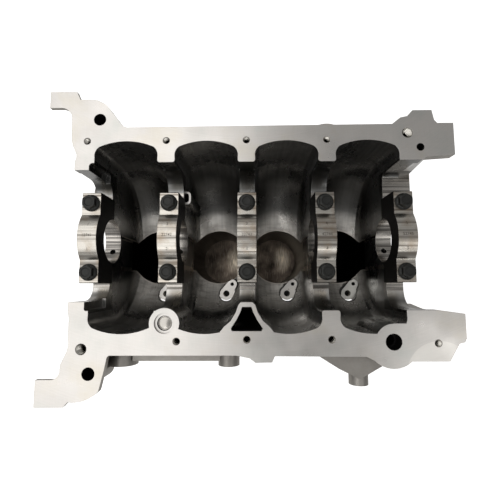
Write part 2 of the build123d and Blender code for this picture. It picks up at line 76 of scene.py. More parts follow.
# Where one surface of the casting ends and the next begins
SLACK = 0.3 * MM
BAY_RADIUS = 107 * MM
BAY_BOTTOM_Z = 105 * MM
INNER_HALF_LENGTH = 190.2 * MM
INNER_HALF_WIDTH = 84 * MM
INNER_BOTTOM_Z = 118 * MM
POCKET_X = (190 * MM, 206 * MM)
POCKET_Y = (56 * MM, 91 * MM)
POCKET_BOTTOM_Z = 160 * MM
VENT_Z = 217 * MM
DRAIN_Y = -91 * MM
DRAIN_HALF_LENGTH = 17.1 * MM
DRAIN_HALF_WIDTH = 13.2 * MM
REGISTER_HALF_WIDTH = 90 * MM
RAIL_HOLE_DEPTH = 60 * MM
JET_HOLE_DEPTH = 12 * MM
WEB_TOP_Z = (216 * MM, 222 * MM)
WEB_HALF_WIDTH = 85 * MM

# A face whose normal comes this near to a direction, as a cosine, looks that way
FACING = 0.9

# Edges sharper than this stay sharp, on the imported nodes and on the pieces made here
NODE_CREASE = math.radians(32)
PIECE_CREASE = math.radians(28)

# Marks of the cutters on the rail: rings round a far centre, and one later pass
ARC_CENTER = (0, 420 * MM, 0)
CUTTER_PASS = (203 * MM, -150 * MM, 0)
CUTTER_RADIUS = 36 * MM
RING_WIDTH = 1.429 * MM

# Holes of a jet pad and round parts of its outline: place from the cylinder's axis, and radius
JET_HOLES = ((12 * MM, -68.2 * MM, 4.7 * MM), (20.7 * MM, -54.3 * MM, 2.8 * MM))
JET_ROUNDS = (
    (12 * MM, -68.2 * MM, 11.4 * MM),
    (16.4 * MM, -61.2 * MM, 10.2 * MM),
    (20.7 * MM, -54.3 * MM, 8.9 * MM),
)

# Mouths of the threaded holes in millimetres, each row with the way its bolt comes out
M8_HOLES = (
    ((0, 0, 1), [(x, 107, 282) for x in (-90, 0, 90)] + [(-179.1, 106.8, 282)]),
    (
        (0, 0, 1),
        [(-74.9, -114.2, 282), (0, -112.5, 282), (90, -112.5, 282), (201.9, -116.5, 282)],
    ),
    ((1, 0, 0), [(204.7, 98, 205), (204.7, -98, 205), (198.5, -64, 40), (198.5, 40, 40)]),
)
M12_HOLES = (
    ((0, 0, 1), [(180.2, 114.3, 282), (-176.2, -122.2, 282)]),
    ((-1, 0, 0), [(-223.4, -84, 100), (-223.4, 60, 100), (-212.4, -72, 25), (-212.4, 48, 25)]),
    ((-1, 0, 0), [(-223.4, -168, 268)]),
    ((0, -1, 0), [(-146.5, -147, 238), (-21.5, -147, 243), (130, -170.5, 236)]),
)
M10_HOLES = (((-1, 0, 0), [(-223.4, 159.5, 270)]),)

# Untapped holes of the rail in millimetres: place and radius
PLAIN_HOLES = (
    ((-165.7, 132), 7.4),
    ((-167.5, -147.7), 7.4),
    ((193.9, 97.6), 4.9),
    ((155.2, -115.1), 9.2),
    ((-88.3, -95.3), 8.5),
)


def linear(code):
    """Linear colour with full alpha from an sRGB hex code."""
    parts = [int(code[i : i + 2], 16) / 255 for i in (0, 2, 4)]
    return (*[v / 12.92 if v <= 0.04045 else ((v + 0.055) / 1.055) ** 2.4 for v in parts], 1.0)


def colour(name, text, code):
    """A colour setting, shown in the sidebar."""
    return bpy.props.FloatVectorProperty(
        name=name, description=text, default=linear(code), subtype="COLOR", size=4, min=0, max=1
    )


def length(name, text, metres):
    """A length setting, shown in the sidebar."""
    return bpy.props.FloatProperty(
        name=name, description=text, default=metres, unit="LENGTH", precision=5
    )


class EngineBlockColours(bpy.types.PropertyGroup):
    """Colours of the metals"""

    milled: colour("Milled aluminium", "Machined faces of the casting", "d3cfca")
    casting: colour("Cast aluminium", "Outer skin of the casting", "98948e")
    crankcase: colour("Crankcase wall", "Oil-stained cast skin inside the bays", "dedddb")
    # Painted highlight: the floor round the bore mouths gets a brighter colour
    bay_floor: colour("Crankcase floor", "Brighter cast skin round the bore mouths", "fbf6ee")
    saddle: colour("Bearing saddle", "Turned saddle and register faces", "c9c4bd")
    liner: colour("Cylinder liner", "Honed iron of the bores", "332e2a")
    cap: colour("Bearing cap", "Machined iron of the main caps", "cfcac1")
    cap_side: colour("Bearing cap side", "Darker cast sides of the main caps", "3c3a38")
    bolt: colour("Cap bolt", "Black oxide of the cap bolts", "2a2a28")
    zinc: colour("Plug", "Zinc of the plugs", "b4b0a9")
    steel: colour("Dowel", "Ground steel of the dowels", "b9b8b6")
    floor: colour("Floor", "Studio floor", "f4f3f1")
    bench: colour("Bench", "Oiled steel plate under the deck, seen through the bores", "85786b")


class EngineBlockSizes(bpy.types.PropertyGroup):
    """Sizes of the pieces that the scene adds"""

    fine_pitch: length("M8 pitch", "Pitch of the rail bolt threads", 1.25 * MM)
    coarse_pitch: length("M12 pitch", "Pitch of the larger threads", 1.75 * MM)
    hex_width: length("Bolt hexagon", "Width across the flats of the cap bolts", 14 * MM)
    flange_radius: length("Bolt flange", "Radius of the cap bolts' flange", 9.75 * MM)
    rim_width: length("Bore rim", "Width of the bright chamfer round each bore mouth", 1.5 * MM)
    mark_height: length("Mark height", "Height of the numbers stamped on the caps", 5 * MM)
    lamp_power: bpy.props.FloatProperty(
        name="Lamp power",
        description="Power of the large studio lamp",
        default=12,
        min=0,
        unit="POWER",
    )


def colours():
    """The colour settings."""
    return bpy.context.scene.engine_block_colours


def sizes():
    """The size settings."""
    return bpy.context.scene.engine_block_sizes


def add_node(tree, kind, inputs=(), **settings):
    """Adds a node, with its settings and its input values or links, in order or by name."""
    made = tree.nodes.new(kind)
    for name, value in settings.items():
        setattr(made, name, value)
    pairs = inputs.items() if isinstance(inputs, dict) else enumerate(inputs)
    for name, value in pairs:
        socket = made.inputs[name]
        if isinstance(value, bpy.types.NodeSocket):
            tree.links.new(value, socket)
        else:
            socket.default_value = value
    return made


def new_material(name, base, roughness, metallic=1.0):
    """A material with a Principled shader, its node tree, and that shader."""
    made = bpy.data.materials.new(name)
    made.use_nodes = True
    shader = made.node_tree.nodes["Principled BSDF"]
    shader.inputs["Base Color"].default_value = base
    shader.inputs["Roughness"].default_value = roughness
    shader.inputs["Metallic"].default_value = metallic
    return made, made.node_tree, shader


def coordinates(tree, scale=(1, 1, 1), turn=(0, 0, 0)):
    """Object coordinates in metres, scaled along each axis and then turned."""
    place = add_node(tree, "ShaderNodeTexCoord")
    inputs = {"Vector": place.outputs["Object"], "Scale": scale, "Rotation": turn}
    return add_node(tree, "ShaderNodeMapping", inputs).outputs["Vector"]


def grain(tree, widths, detail=3.0, rough=0.5, turn=(0, 0, 0)):
    """A random pattern from 0 to 1, with grains so many millimetres wide along x, y and z."""
    vector = coordinates(tree, [1 / (width * MM) for width in widths], turn)
    inputs = {"Vector": vector, "Scale": 1.0, "Detail": detail, "Roughness": rough}
    return add_node(tree, "ShaderNodeTexNoise", inputs).outputs["Fac"]


def even_grain(tree, width, detail=3.0, rough=0.5):
    """A random pattern with grains of one width in millimetres all ways."""
    return grain(tree, (width, width, width), detail, rough)


def lay_over(tree, shade, colour, value, start=0.0, end=1.0, low=0.0, high=1.0):
    """Lays a colour over a shade, from low to high strength as the value goes from start to end."""
    factor = add_node(tree, "ShaderNodeMapRange", (value, start, end, low, high))

    # A colour mix has its factor and its two colours at sockets 0, 6 and 7
    inputs = {0: factor.outputs[0], 6: shade, 7: colour}
    return add_node(tree, "ShaderNodeMix", inputs, data_type="RGBA").outputs[2]


def bump(tree, shader, height, distance, strength=1.0, edge=0.0):
    """Raises the surface by a height texture, over edges rounded by the given radius."""
    inputs = {"Height": height, "Distance": distance, "Strength": strength}
    if edge:
        round_edge = add_node(tree, "ShaderNodeBevel", {"Radius": edge}, samples=4)
        inputs["Normal"] = round_edge.outputs["Normal"]
    made = add_node(tree, "ShaderNodeBump", inputs)
    tree.links.new(made.outputs["Normal"], shader.inputs["Normal"])


def reach(tree, centre, axes=(1, 1, 0)):
    """Distance from a centre, counted along the chosen axes."""
    inputs = (coordinates(tree, axes), tuple(c * a for c, a in zip(centre, axes)))
    return add_node(tree, "ShaderNodeVectorMath", inputs, operation="DISTANCE").outputs["Value"]


def largest(tree, values):
    """The largest of some values."""
    found = values[0]
    for value in values[1:]:
        found = add_node(tree, "ShaderNodeMath", (found, value), operation="MAXIMUM").outputs[0]
    return found


def product(tree, values):
    """The product of some values."""
    found = values[0]
    for value in values[1:]:
        found = add_node(tree, "ShaderNodeMath", (found, value), operation="MULTIPLY").outputs[0]
    return found


def milled_aluminium():
    """Face-milled aluminium: tool marks, dull patches, and a later pass at the timing end."""
    made, tree, shader = new_material("milled_aluminium", colours().milled, 0.32)
    marks = grain(tree, (11.11, 0.3846, 11.11), 2, turn=(0, 0, 0.35))
    lines = grain(tree, (1.429, 16.67, 16.67), 3, 0.6, turn=(0, 0, 0.06))
    patches = even_grain(tree, 35.71)
    tints = even_grain(tree, 58.82, 4, 0.6)

    # Rings of tool marks, as random shades that follow the distance from the rings' middle
    ring = add_node(tree, "ShaderNodeCombineXYZ", (reach(tree, ARC_CENTER),)).outputs[0]
    inputs = {"Vector": ring, "Scale": 1 / RING_WIDTH, "Detail": 2}
    arcs = add_node(tree, "ShaderNodeTexNoise", inputs).outputs["Fac"]
    swirl = reach(tree, CUTTER_PASS)
    swirl_edge = (CUTTER_RADIUS - 0.4 * MM, CUTTER_RADIUS + 0.2 * MM)
    rough = add_node(tree, "ShaderNodeMapRange", (patches, 0.3, 0.7, 0.26, 0.38)).outputs[0]
    tree.links.new(rough, shader.inputs["Roughness"])
    shade = lay_over(tree, colours().milled, linear("8f8b86"), marks, 0.3, 0.7, high=0.08)
    shade = lay_over(tree, shade, linear("a39a8c"), lines, 0.3, 0.7, high=0.07)
    shade = lay_over(tree, shade, linear("98958f"), arcs, 0.3, 0.7, high=0.12)
    shade = lay_over(tree, shade, linear("c3b795"), tints, 0.52, 0.75, high=0.3)
    shade = lay_over(tree, shade, linear("a5b3ad"), tints, 0.25, 0.48, 0.3, 0.0)
    shade = lay_over(tree, shade, linear("e4e0d9"), swirl, *swirl_edge, 0.5, 0.0)
    tree.links.new(shade, shader.inputs["Base Color"])
    bump(tree, shader, marks, 0.02 * MM, 0.35, 0.5 * MM)
    return made


def cast_aluminium():
    """Sand-cast aluminium: a fine grain over soft lumps."""
    made, tree, shader = new_material("cast_aluminium", colours().casting, 0.45, 0.9)
    sand = even_grain(tree, 1.613, 5, 0.6)
    lumps = even_grain(tree, 16.67, 4, 0.6)
    shade = lay_over(tree, colours().casting, linear("5f5b56"), lumps, 0.3, 0.7, high=0.35)
    tree.links.new(shade, shader.inputs["Base Color"])
    bump(tree, shader, sand, 0.25 * MM, 0.6, 0.8 * MM)
    return made


def web_top(tree, across, height):
    """Where a face lies on top of a web: factors for its painted highlight beside the caps and for
    its darker part further out.
    """
    # Each ramp: a place, its two limits, and the factor at either limit
    ramps = (
        (height, *WEB_TOP_Z, 0.0, 1.0),
        (across, -54 * MM, -50 * MM, 0.4, 0.0),
        (across, 53 * MM, 66 * MM, 0.0, 0.85),
        (across, -74 * MM, -64 * MM, 0.75, 0.0),
    )
    made = [add_node(tree, "ShaderNodeMapRange", ramp).outputs[0] for ramp in ramps]
    top, beside, far, near = made
    width = add_node(tree, "ShaderNodeMath", (across,), operation="ABSOLUTE").outputs[0]
    limits = (width, WEB_HALF_WIDTH)
    web = add_node(tree, "ShaderNodeMath", limits, operation="LESS_THAN").outputs[0]
    return product(tree, (top, beside, web)), product(tree, (largest(tree, (far, near)), web, top))


def crankcase_aluminium():
    """Oil-stained, streaked cast aluminium, darker lower down the walls, with painted highlights
    over the bores and beside the caps.
    """
    made, tree, shader = new_material("crankcase_aluminium", colours().crankcase, 0.34)
    sand = even_grain(tree, 3.846, 4, 0.55)
    stains = grain(tree, (38.46, 64.1, 38.46), 5, 0.62)
    streaks = grain(tree, (3.846, 71.43, 71.43), 3, 0.6)
    ripples = grain(tree, (40, 8.333, 16.67), 3, 0.6)
    smears = grain(tree, (33.33, 5.882, 5.882), 4, 0.7)
    place = add_node(tree, "ShaderNodeSeparateXYZ", (coordinates(tree),))
    across, height = place.outputs["Y"], place.outputs["Z"]

    # A painted highlight brightens the floor, and reaches higher on the near side than on the far
    # side
    inputs = (across, 0.25, height)
    lean = add_node(tree, "ShaderNodeMath", inputs, operation="MULTIPLY_ADD").outputs[0]
    inputs = (lean, 127 * MM, 147 * MM, 1.0, 0.0)
    low = add_node(tree, "ShaderNodeMapRange", inputs).outputs[0]
    wall = colours().crankcase
    shade = lay_over(tree, linear("7b7a78"), wall, height, 158 * MM, 196 * MM)
    shade = lay_over(tree, shade, colours().bay_floor, low)
    shade = lay_over(tree, shade, linear("6b6a67"), stains, 0.3, 0.7, high=0.5)
    shade = lay_over(tree, shade, linear("5b5a57"), streaks, 0.3, 0.7, high=0.35)
    smeared = add_node(tree, "ShaderNodeMapRange", (smears, 0.42, 0.68, 0.0, 0.5)).outputs[0]
    shade = lay_over(tree, shade, linear("5d5248"), product(tree, (smeared, low)))
    # Painted highlight on the near web tops beside the caps; further out they turn darker, painted
    # shade on the near side and a darker cast skin on the far side
    bright, dark = web_top(tree, across, height)
    shade = lay_over(tree, shade, linear("dcd6cd"), bright)
    shade = lay_over(tree, shade, linear("4b4b49"), dark)

    # Painted shade of a groove round each jet pad, and a bright chamfer round each bore
    groove_shades, rims = [], []
    for x in BORE_X:
        for along, aside, radius in JET_ROUNDS:
            inputs = (reach(tree, (x + along, aside, 0)), radius, radius + 0.8 * MM, 0.85, 0.0)
            groove_shades.append(add_node(tree, "ShaderNodeMapRange", inputs).outputs[0])
        inputs = (reach(tree, (x, BORE_Y, 0)), BORE_RADIUS, sizes().rim_width)
        rims.append(add_node(tree, "ShaderNodeMath", inputs, operation="COMPARE").outputs[0])
    shade = lay_over(tree, shade, linear("242321"), largest(tree, groove_shades))
    shade = lay_over(tree, shade, linear("d6cfc6"), largest(tree, rims))
    tree.links.new(shade, shader.inputs["Base Color"])
    rough = add_node(tree, "ShaderNodeMapRange", (stains, 0.3, 0.7, 0.2, 0.38)).outputs[0]
    tree.links.new(rough, shader.inputs["Roughness"])
    metallic = add_node(tree, "ShaderNodeMapRange", (low, 0.0, 1.0, 1.0, 0.5)).outputs[0]
    tree.links.new(metallic, shader.inputs["Metallic"])
    bump(tree, shader, largest(tree, (sand, ripples)), 0.4 * MM, 0.5, 1.2 * MM)
    return made


def oily_hole():
    """Drilled walls, painted black for the shade deep in the holes."""
    return new_material("shaded_drilled_aluminium", linear("1d1c1b"), 0.5, 0.7)[0]


def turned_aluminium():
    """Line-bored saddles: painted reflection bands along the crank axis over fine tool rings."""
    made, tree, shader = new_material("turned_aluminium", colours().saddle, 0.24)
    rings = grain(tree, (0.4167, 33.33, 33.33), 2)
    bands = grain(tree, (166.7, 3.03, 16.67), 2, 0.7)
    shade = lay_over(tree, colours().saddle, linear("7c7770"), rings, 0.3, 0.7, high=0.3)
    # Painted reflection: dark bands along the crank axis
    shade = lay_over(tree, shade, linear("4b4845"), bands, 0.42, 0.6, high=0.85)
    tree.links.new(shade, shader.inputs["Base Color"])
    bump(tree, shader, rings, 0.02 * MM, 0.5, 0.4 * MM)
    return made


def honed_iron():
    """Honed iron: crossed scratches on a warm grey, drawn wide enough to show."""
    made, tree, shader = new_material("honed_iron", colours().liner, 0.32)
    scratch = (1.111, 1.111, 11.11)
    ways = [grain(tree, scratch, 2, turn=(lean, 0, 0)) for lean in (0.5, -0.5)]
    crossed = add_node(tree, "ShaderNodeMath", ways, operation="ADD").outputs[0]
    bump(tree, shader, crossed, 0.02 * MM, 0.5)
    return made


def machined_iron():
    """Milled cap tops: painted dark reflection bands across the crown, and brown stains."""
    made, tree, shader = new_material("machined_iron", colours().cap, 0.3)
    streaks = grain(tree, (200, 0.6667, math.inf), 3, 0.6)
    bands = grain(tree, (400, 5.263, math.inf), 3, 0.65)
    stains = even_grain(tree, 13.33, 4)
    # Painted reflection: dark bands across the curved crown
    shade = lay_over(tree, colours().cap, linear("625c56"), bands, 0.46, 0.6, high=0.85)
    shade = lay_over(tree, shade, linear("5f5b56"), streaks, 0.3, 0.7, high=0.25)
    shade = lay_over(tree, shade, linear("8d775d"), stains, 0.45, 0.7, high=0.45)
    tree.links.new(shade, shader.inputs["Base Color"])
    rough = add_node(tree, "ShaderNodeMapRange", (bands, 0.3, 0.7, 0.2, 0.36)).outputs[0]
    tree.links.new(rough, shader.inputs["Roughness"])
    bump(tree, shader, streaks, 0.04 * MM, 0.5, 0.6 * MM)
    return made


def cast_iron_side():
    """Sides of the caps: dull, and much darker than their tops."""
    made, tree, shader = new_material("cast_iron_side", colours().cap_side, 0.55)
    bump(tree, shader, even_grain(tree, 1.429, 4, 0.6), 0.15 * MM, 0.6, 0.6 * MM)
    return made


def black_oxide():
    """Black oxide steel of the bolts: dull, with a fine etched grain."""
    made, tree, shader = new_material("black_oxide_steel", colours().bolt, 0.42, 0.6)
    bump(tree, shader, even_grain(tree, 1.111), 0.03 * MM, 0.4, 0.3 * MM)
    return made


def cut_thread():
    """Tapped aluminium: bright flanks left by the tap."""
    return new_material("tapped_aluminium", linear("c2beb6"), 0.24)[0]


def stamped_mark():
    """Dark bottom of a number stamped into a cap."""
    return new_material("stamped_mark", linear("3b342d"), 0.5, 0.8)[0]


def zinc_plate():
    """Bright zinc on pressed steel."""
    made, tree, shader = new_material("zinc_plated_steel", colours().zinc, 0.25)
    bump(tree, shader, even_grain(tree, 2.5), 0.03 * MM, 0.3, 0.4 * MM)
    return made


def ground_steel():
    """Ground steel of the dowels: fine rings round the pin."""
    made, tree, shader = new_material("ground_steel", colours().steel, 0.28)
    bump(tree, shader, grain(tree, (16.67, 0.8333, 0.8333), 2), 0.02 * MM, 0.3, 0.3 * MM)
    return made


def face_table(obj):
    """Centre and unit normal of every face of a node, as two arrays."""
    count = len(obj.data.polygons)
    centres = np.zeros(count * 3, np.float32)
    normals = np.zeros(count * 3, np.float32)
    obj.data.polygons.foreach_get("center", centres)
    obj.data.polygons.foreach_get("normal", normals)
    return centres.reshape(-1, 3), normals.reshape(-1, 3)


def between(values, low, high):
    """Which values lie between two limits."""
    return (values > low) & (values < high)


def close(values, goal, slack=SLACK):
    """Which values lie within the slack of a goal."""
    return np.abs(values - goal) < slack


def in_tunnel(centre):
    """Which face centres lie on the wall of the crank tunnel."""
    return close(np.hypot(centre[:, 1], centre[:, 2] - CRANK_Z), TUNNEL_RADIUS, 0.6 * MM)


def paint(obj, materials, index):
    """Gives a node its materials, one number for each face."""
    obj.data.materials.clear()
    for made in materials:
        obj.data.materials.append(made)
    obj.data.shade_smooth()
    obj.data.set_sharp_from_angle(angle=NODE_CREASE)
    obj.data.polygons.foreach_set("material_index", index.astype(np.int32))
    obj.data.update()


class PaintCasting(bpy.types.Operator):
    """Gives each face of the casting the surface that its process leaves"""

    bl_idname = "engine_block.paint_casting"
    bl_label = "Casting surfaces"

    def execute(self, context):
        centre, normal = face_table(BLOCK)

        # Later rows paint over earlier ones
        rows = (
            (crankcase_aluminium, self.crankcase),
            (milled_aluminium, self.milled),
            (turned_aluminium, self.turned),
            (honed_iron, self.bores),
            # Walls of the deep holes, painted black as shade
            (oily_hole, self.drilled),
        )
        index = np.zeros(len(centre))
        for number, (_, faces) in enumerate(rows, 1):
            index[faces(centre, normal)] = number
        paint(BLOCK, [cast_aluminium(), *[make() for make, _ in rows]], index)
        return {"FINISHED"}

    def crankcase(self, centre, normal):
        """Faces of the bays, the webs between them, and the pocket at the timing end."""
        x, y, z = centre.T
        depth = np.where(z < BAY_AXIS_Z, np.hypot(y, z - BAY_AXIS_Z), np.abs(y))
        bay = np.any([close(x, bore, BAY_HALF_WIDTH + SLACK) for bore in BORE_X], axis=0)
        bay &= (depth < BAY_RADIUS) & (z > BAY_BOTTOM_Z)
        inside = (np.abs(x) < INNER_HALF_LENGTH) & (np.abs(y) < INNER_HALF_WIDTH)
        pocket = between(x, *POCKET_X) & between(y, *POCKET_Y) & (z > POCKET_BOTTOM_Z)
        return bay | (inside & (z > INNER_BOTTOM_Z)) | pocket

    def milled(self, centre, normal):
        """Faces of the pan rail, the vent's seat, the head deck, the rear and the jet pads."""
        x, z = centre[:, 0], centre[:, 2]
        upward = normal[:, 2] > FACING
        rail = (z > RAIL_Z - 3 * MM) & (normal[:, 2] > 0.5)
        seats = (close(z, VENT_Z) | close(z, JET_PAD_Z)) & upward
        deck = (z < 0.5 * MM) & (normal[:, 2] < -FACING)
        rear = (x < REAR_X + 0.5 * MM) & (normal[:, 0] < -FACING)
        return rail | seats | deck | rear

    def turned(self, centre, normal):
        """Faces of the saddles and of the registers that the caps sit in."""
        y, z = centre[:, 1], centre[:, 2]
        toward_axis = np.abs(y * normal[:, 1] + (z - CRANK_Z) * normal[:, 2])
        saddle = in_tunnel(centre) & (toward_axis > FACING * TUNNEL_RADIUS)
        register = close(z, CRANK_Z + 2 * MM, 2.2 * MM) & (normal[:, 2] > FACING)
        return saddle | (register & (np.abs(y) < REGISTER_HALF_WIDTH))

    def bores(self, centre, normal):
        """Walls of the cylinder bores."""
        x, y = centre[:, 0], centre[:, 1]
        away = [np.hypot(x - bore, y - BORE_Y) for bore in BORE_X]
        wall = np.any([close(far, BORE_RADIUS, 0.5 * MM) for far in away], axis=0)
        return wall & (np.abs(normal[:, 2]) < 0.1)

    def drilled(self, centre, normal):
        """Walls of the drain, of the rail's holes and of the holes in the jet pads."""
        x, y, z = centre.T
        drain = close(x, 0, DRAIN_HALF_LENGTH) & close(y, DRAIN_Y, DRAIN_HALF_WIDTH)
        faces = drain & (z < RAIL_Z - MM) & (np.abs(normal[:, 2]) < 0.3)

        # The rail's tapped holes, with radii in millimetres just outside their threads
        tapped = [(spot, 4.4) for _, spots in M8_HOLES[:2] for spot in spots]
        tapped += [(spot, 6.4) for spot in M12_HOLES[0][1]]
        for place, radius in (*PLAIN_HOLES, *tapped):
            hole = np.hypot(x - place[0] * MM, y - place[1] * MM) < radius * MM
            faces |= hole & between(z, RAIL_Z - RAIL_HOLE_DEPTH, RAIL_Z - MM)

        for bore in BORE_X:
            for along, aside, radius in JET_HOLES:
                hole = np.hypot(x - bore - along, y - aside) < radius
                faces |= hole & between(z, JET_PAD_Z - JET_HOLE_DEPTH, JET_PAD_Z - MM)
        return faces


class PaintSmallPieces(bpy.types.Operator):
    """Gives the liners, caps, plugs and dowels their metals"""

    bl_idname = "engine_block.paint_small_pieces"
    bl_label = "Liner, cap, plug and dowel surfaces"

    def execute(self, context):
        honed, zinc, ground = honed_iron(), zinc_plate(), ground_steel()
        cap = [machined_iron(), cast_iron_side(), turned_aluminium()]
        for name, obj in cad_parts.items():
            centre, normal = face_table(obj)
            plain = np.zeros(len(centre))
            if name.startswith("cylinder_liner"):
                paint(obj, [honed], plain)
            elif name.startswith("main_cap_bolts"):
                continue
            elif name.startswith("main_cap"):
                index = np.where(np.abs(normal[:, 0]) > FACING, 1, 0)
                index[in_tunnel(centre)] = 2
                paint(obj, cap, index)
            elif "plug" in name:
                paint(obj, [zinc], plain)
            elif "dowel" in name:
                paint(obj, [ground], plain)
        return {"FINISHED"}


def add_object(name, data):
    """Puts an object into the scene."""
    made = bpy.data.objects.new(name, data)
    bpy.context.scene.collection.objects.link(made)
    return made


def made_mesh(name, carrier):
    """The plain mesh that an object's text or modifiers make."""
    graph = bpy.context.evaluated_depsgraph_get()
    mesh = bpy.data.meshes.new_from_object(carrier.evaluated_get(graph), depsgraph=graph)
    mesh.name = name
    return mesh


def ring_mesh(name, rings):
    """A closed mesh from rings of points, with a flat face at each end."""
    count = len(rings[0])
    points = [p for ring in rings for p in ring]
    faces = []
    for row in range(len(rings) - 1):
        low, high = row * count, (row + 1) * count
        for i in range(count):
            j = (i + 1) % count
            faces.append((low + i, low + j, high + j, high + i))
    faces.append(tuple(reversed(range(count))))
    faces.append(tuple(range((len(rings) - 1) * count, len(rings) * count)))
    made = bpy.data.meshes.new(name)
    made.from_pydata(points, [], faces)
    made.shade_smooth()
    made.set_sharp_from_angle(angle=PIECE_CREASE)
    return made


def full_turn(steps):
    """Angles of a full turn, in equal steps."""
    return [2 * math.pi * i / steps for i in range(steps)]


def circle(radius, height, steps=48):
    """Points of a level circle."""
    return [(radius * math.cos(a), radius * math.sin(a), height) for a in full_turn(steps)]


def hexagon(half, height_at, steps=48):
    """Points round a hexagon of the given half width, each at the height that its reach gives."""
    ring = []
    for angle in full_turn(steps):
        turn = (angle + math.pi / 6) % (math.pi / 3) - math.pi / 6
        away = half / math.cos(turn)
        ring.append((away * math.cos(angle), away * math.sin(angle), height_at(away)))
    return ring


def bolt_mesh():
    """One cap bolt, its seat at height zero: shank, cone flange, chamfered hexagon, dished top."""
    half = sizes().hex_width / 2
    crown = half * 0.96
    top = 8.6 * MM
    flange = sizes().flange_radius
    slope = math.tan(math.radians(30))
    below = (
        (4.4 * MM, -84 * MM),
        (5 * MM, -83 * MM),
        (5 * MM, 0),
        (flange - 0.3 * MM, 0),
        (flange, 0.4 * MM),
        (flange, 1.3 * MM),
        (flange - 0.4 * MM, 1.7 * MM),
        (half * 1.16, 2.9 * MM),
    )
    dish = ((crown * 0.97, top), (5 * MM, top), (4.3 * MM, top - 0.8 * MM), (0.5 * MM, top - MM))
    rings = [circle(*ring) for ring in below]
    rings.append(hexagon(half, lambda away: 3.2 * MM))
    rings.append(hexagon(half, lambda away: min(top, top - (away - crown) * slope)))
    rings += [circle(*ring) for ring in dish]
    return ring_mesh("cap_bolt_shape", rings)


def instance_tree(name, material):
    """A tree that puts a copy of a piece on every point, turned to the point's axis."""
    tree = bpy.data.node_groups.new(name, "GeometryNodeTree")
    for title, way, kind in (
        ("Geometry", "INPUT", "Geometry"),
        ("Piece", "INPUT", "Object"),
        ("Size", "INPUT", "Float"),
        ("Geometry", "OUTPUT", "Geometry"),
    ):
        tree.interface.new_socket(title, in_out=way, socket_type="NodeSocket" + kind)
    start = add_node(tree, "NodeGroupInput")
    piece = add_node(tree, "GeometryNodeObjectInfo", {"Object": start.outputs["Piece"]})
    kind, inputs = "GeometryNodeInputNamedAttribute", {"Name": "axis"}
    axis = add_node(tree, kind, inputs, data_type="FLOAT_VECTOR")
    kind, inputs = "FunctionNodeAlignRotationToVector", {"Vector": axis.outputs["Attribute"]}
    turn = add_node(tree, kind, inputs, axis="Z")
    inputs = {
        "Points": start.outputs["Geometry"],
        "Instance": piece.outputs["Geometry"],
        "Rotation": turn.outputs["Rotation"],
        "Scale": start.outputs["Size"],
    }
    copies = add_node(tree, "GeometryNodeInstanceOnPoints", inputs)
    inputs = {"Geometry": copies.outputs["Instances"]}
    real = add_node(tree, "GeometryNodeRealizeInstances", inputs)
    inputs = {"Geometry": real.outputs["Geometry"], "Material": material}
    dressed = add_node(tree, "GeometryNodeSetMaterial", inputs)
    end = add_node(tree, "NodeGroupOutput")
    tree.links.new(dressed.outputs["Geometry"], end.inputs["Geometry"])
    return tree


def place_copies(name, shape, spots, material, scale=1.0):
    """Repeats a mesh at each spot, a pair of place and axis, and returns one plain object."""
    points = bpy.data.meshes.new(name + "_points")
    points.from_pydata([place for place, _ in spots], [], [])
    axes = points.attributes.new("axis", "FLOAT_VECTOR", "POINT")
    axes.data.foreach_set("vector", [v for _, axis in spots for v in axis])
    source = add_object(name + "_source", shape)
    carrier = add_object(name + "_points", points)
    tree = instance_tree(name + "_tree", material)
    modifier = carrier.modifiers.new("copies", "NODES")
    modifier.node_group = tree
    sockets = {s.name: s.identifier for s in tree.interface.items_tree if s.in_out == "INPUT"}
    modifier[sockets["Piece"]] = source
    modifier[sockets["Size"]] = scale
    mesh = made_mesh(name, carrier)
    if not mesh.polygons:
        raise RuntimeError(f"{name} came out empty")
    carrier.modifiers.remove(modifier)
    for helper in (carrier, source):
        bpy.data.objects.remove(helper)
    return add_object(name, mesh)


class CapBolts(bpy.types.Operator):
    """Ten flanged bolts with chamfered hexagons, in place of the plain ones"""

    bl_idname = "engine_block.cap_bolts"
    bl_label = "Cap bolts"

    def execute(self, context):
        reaches = (-CAP_BOLT_REACH, CAP_BOLT_REACH)
        spots = [((x, y, CAP_SEAT_Z), (0, 0, 1)) for x in WEB_X for y in reaches]
        bolts = place_copies("cap_bolts", bolt_mesh(), spots, black_oxide())
        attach(bolts, "root")
        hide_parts(*[f"main_cap_bolts_{i}" for i in range(1, 6)])
        return {"FINISHED"}


def thread_mesh(name, major, minor, pitch, turns):
    """An inside thread below height zero: a countersink, then a ridge that winds down the wall."""
    steps = 24
    sink = 1.1 * (major - minor)

    # The ridge's outline: radius, and height as a share of the pitch
    outline = ((major, 0.46), (minor, 0.06), (minor, -0.06), (major, -0.46))
    points, faces = [], []
    for i in range(steps * turns + 1):
        angle = 2 * math.pi * i / steps
        for radius, rise in outline:
            height = (rise - 0.5 - i / steps) * pitch - sink / 2
            points.append((radius * math.cos(angle), radius * math.sin(angle), height))
        if i:
            low, high = 4 * (i - 1), 4 * i
            faces += [(low + k, high + k, high + k + 1, low + k + 1) for k in range(3)]
    first = len(points)
    points += circle(major, 0, steps) + circle(minor * 1.02, -sink, steps)
    for i in range(steps):
        j = (i + 1) % steps
        faces.append((first + i, first + j, first + steps + j, first + steps + i))
    made = bpy.data.meshes.new(name)
    made.from_pydata(points, [], faces)
    made.update()
    return made


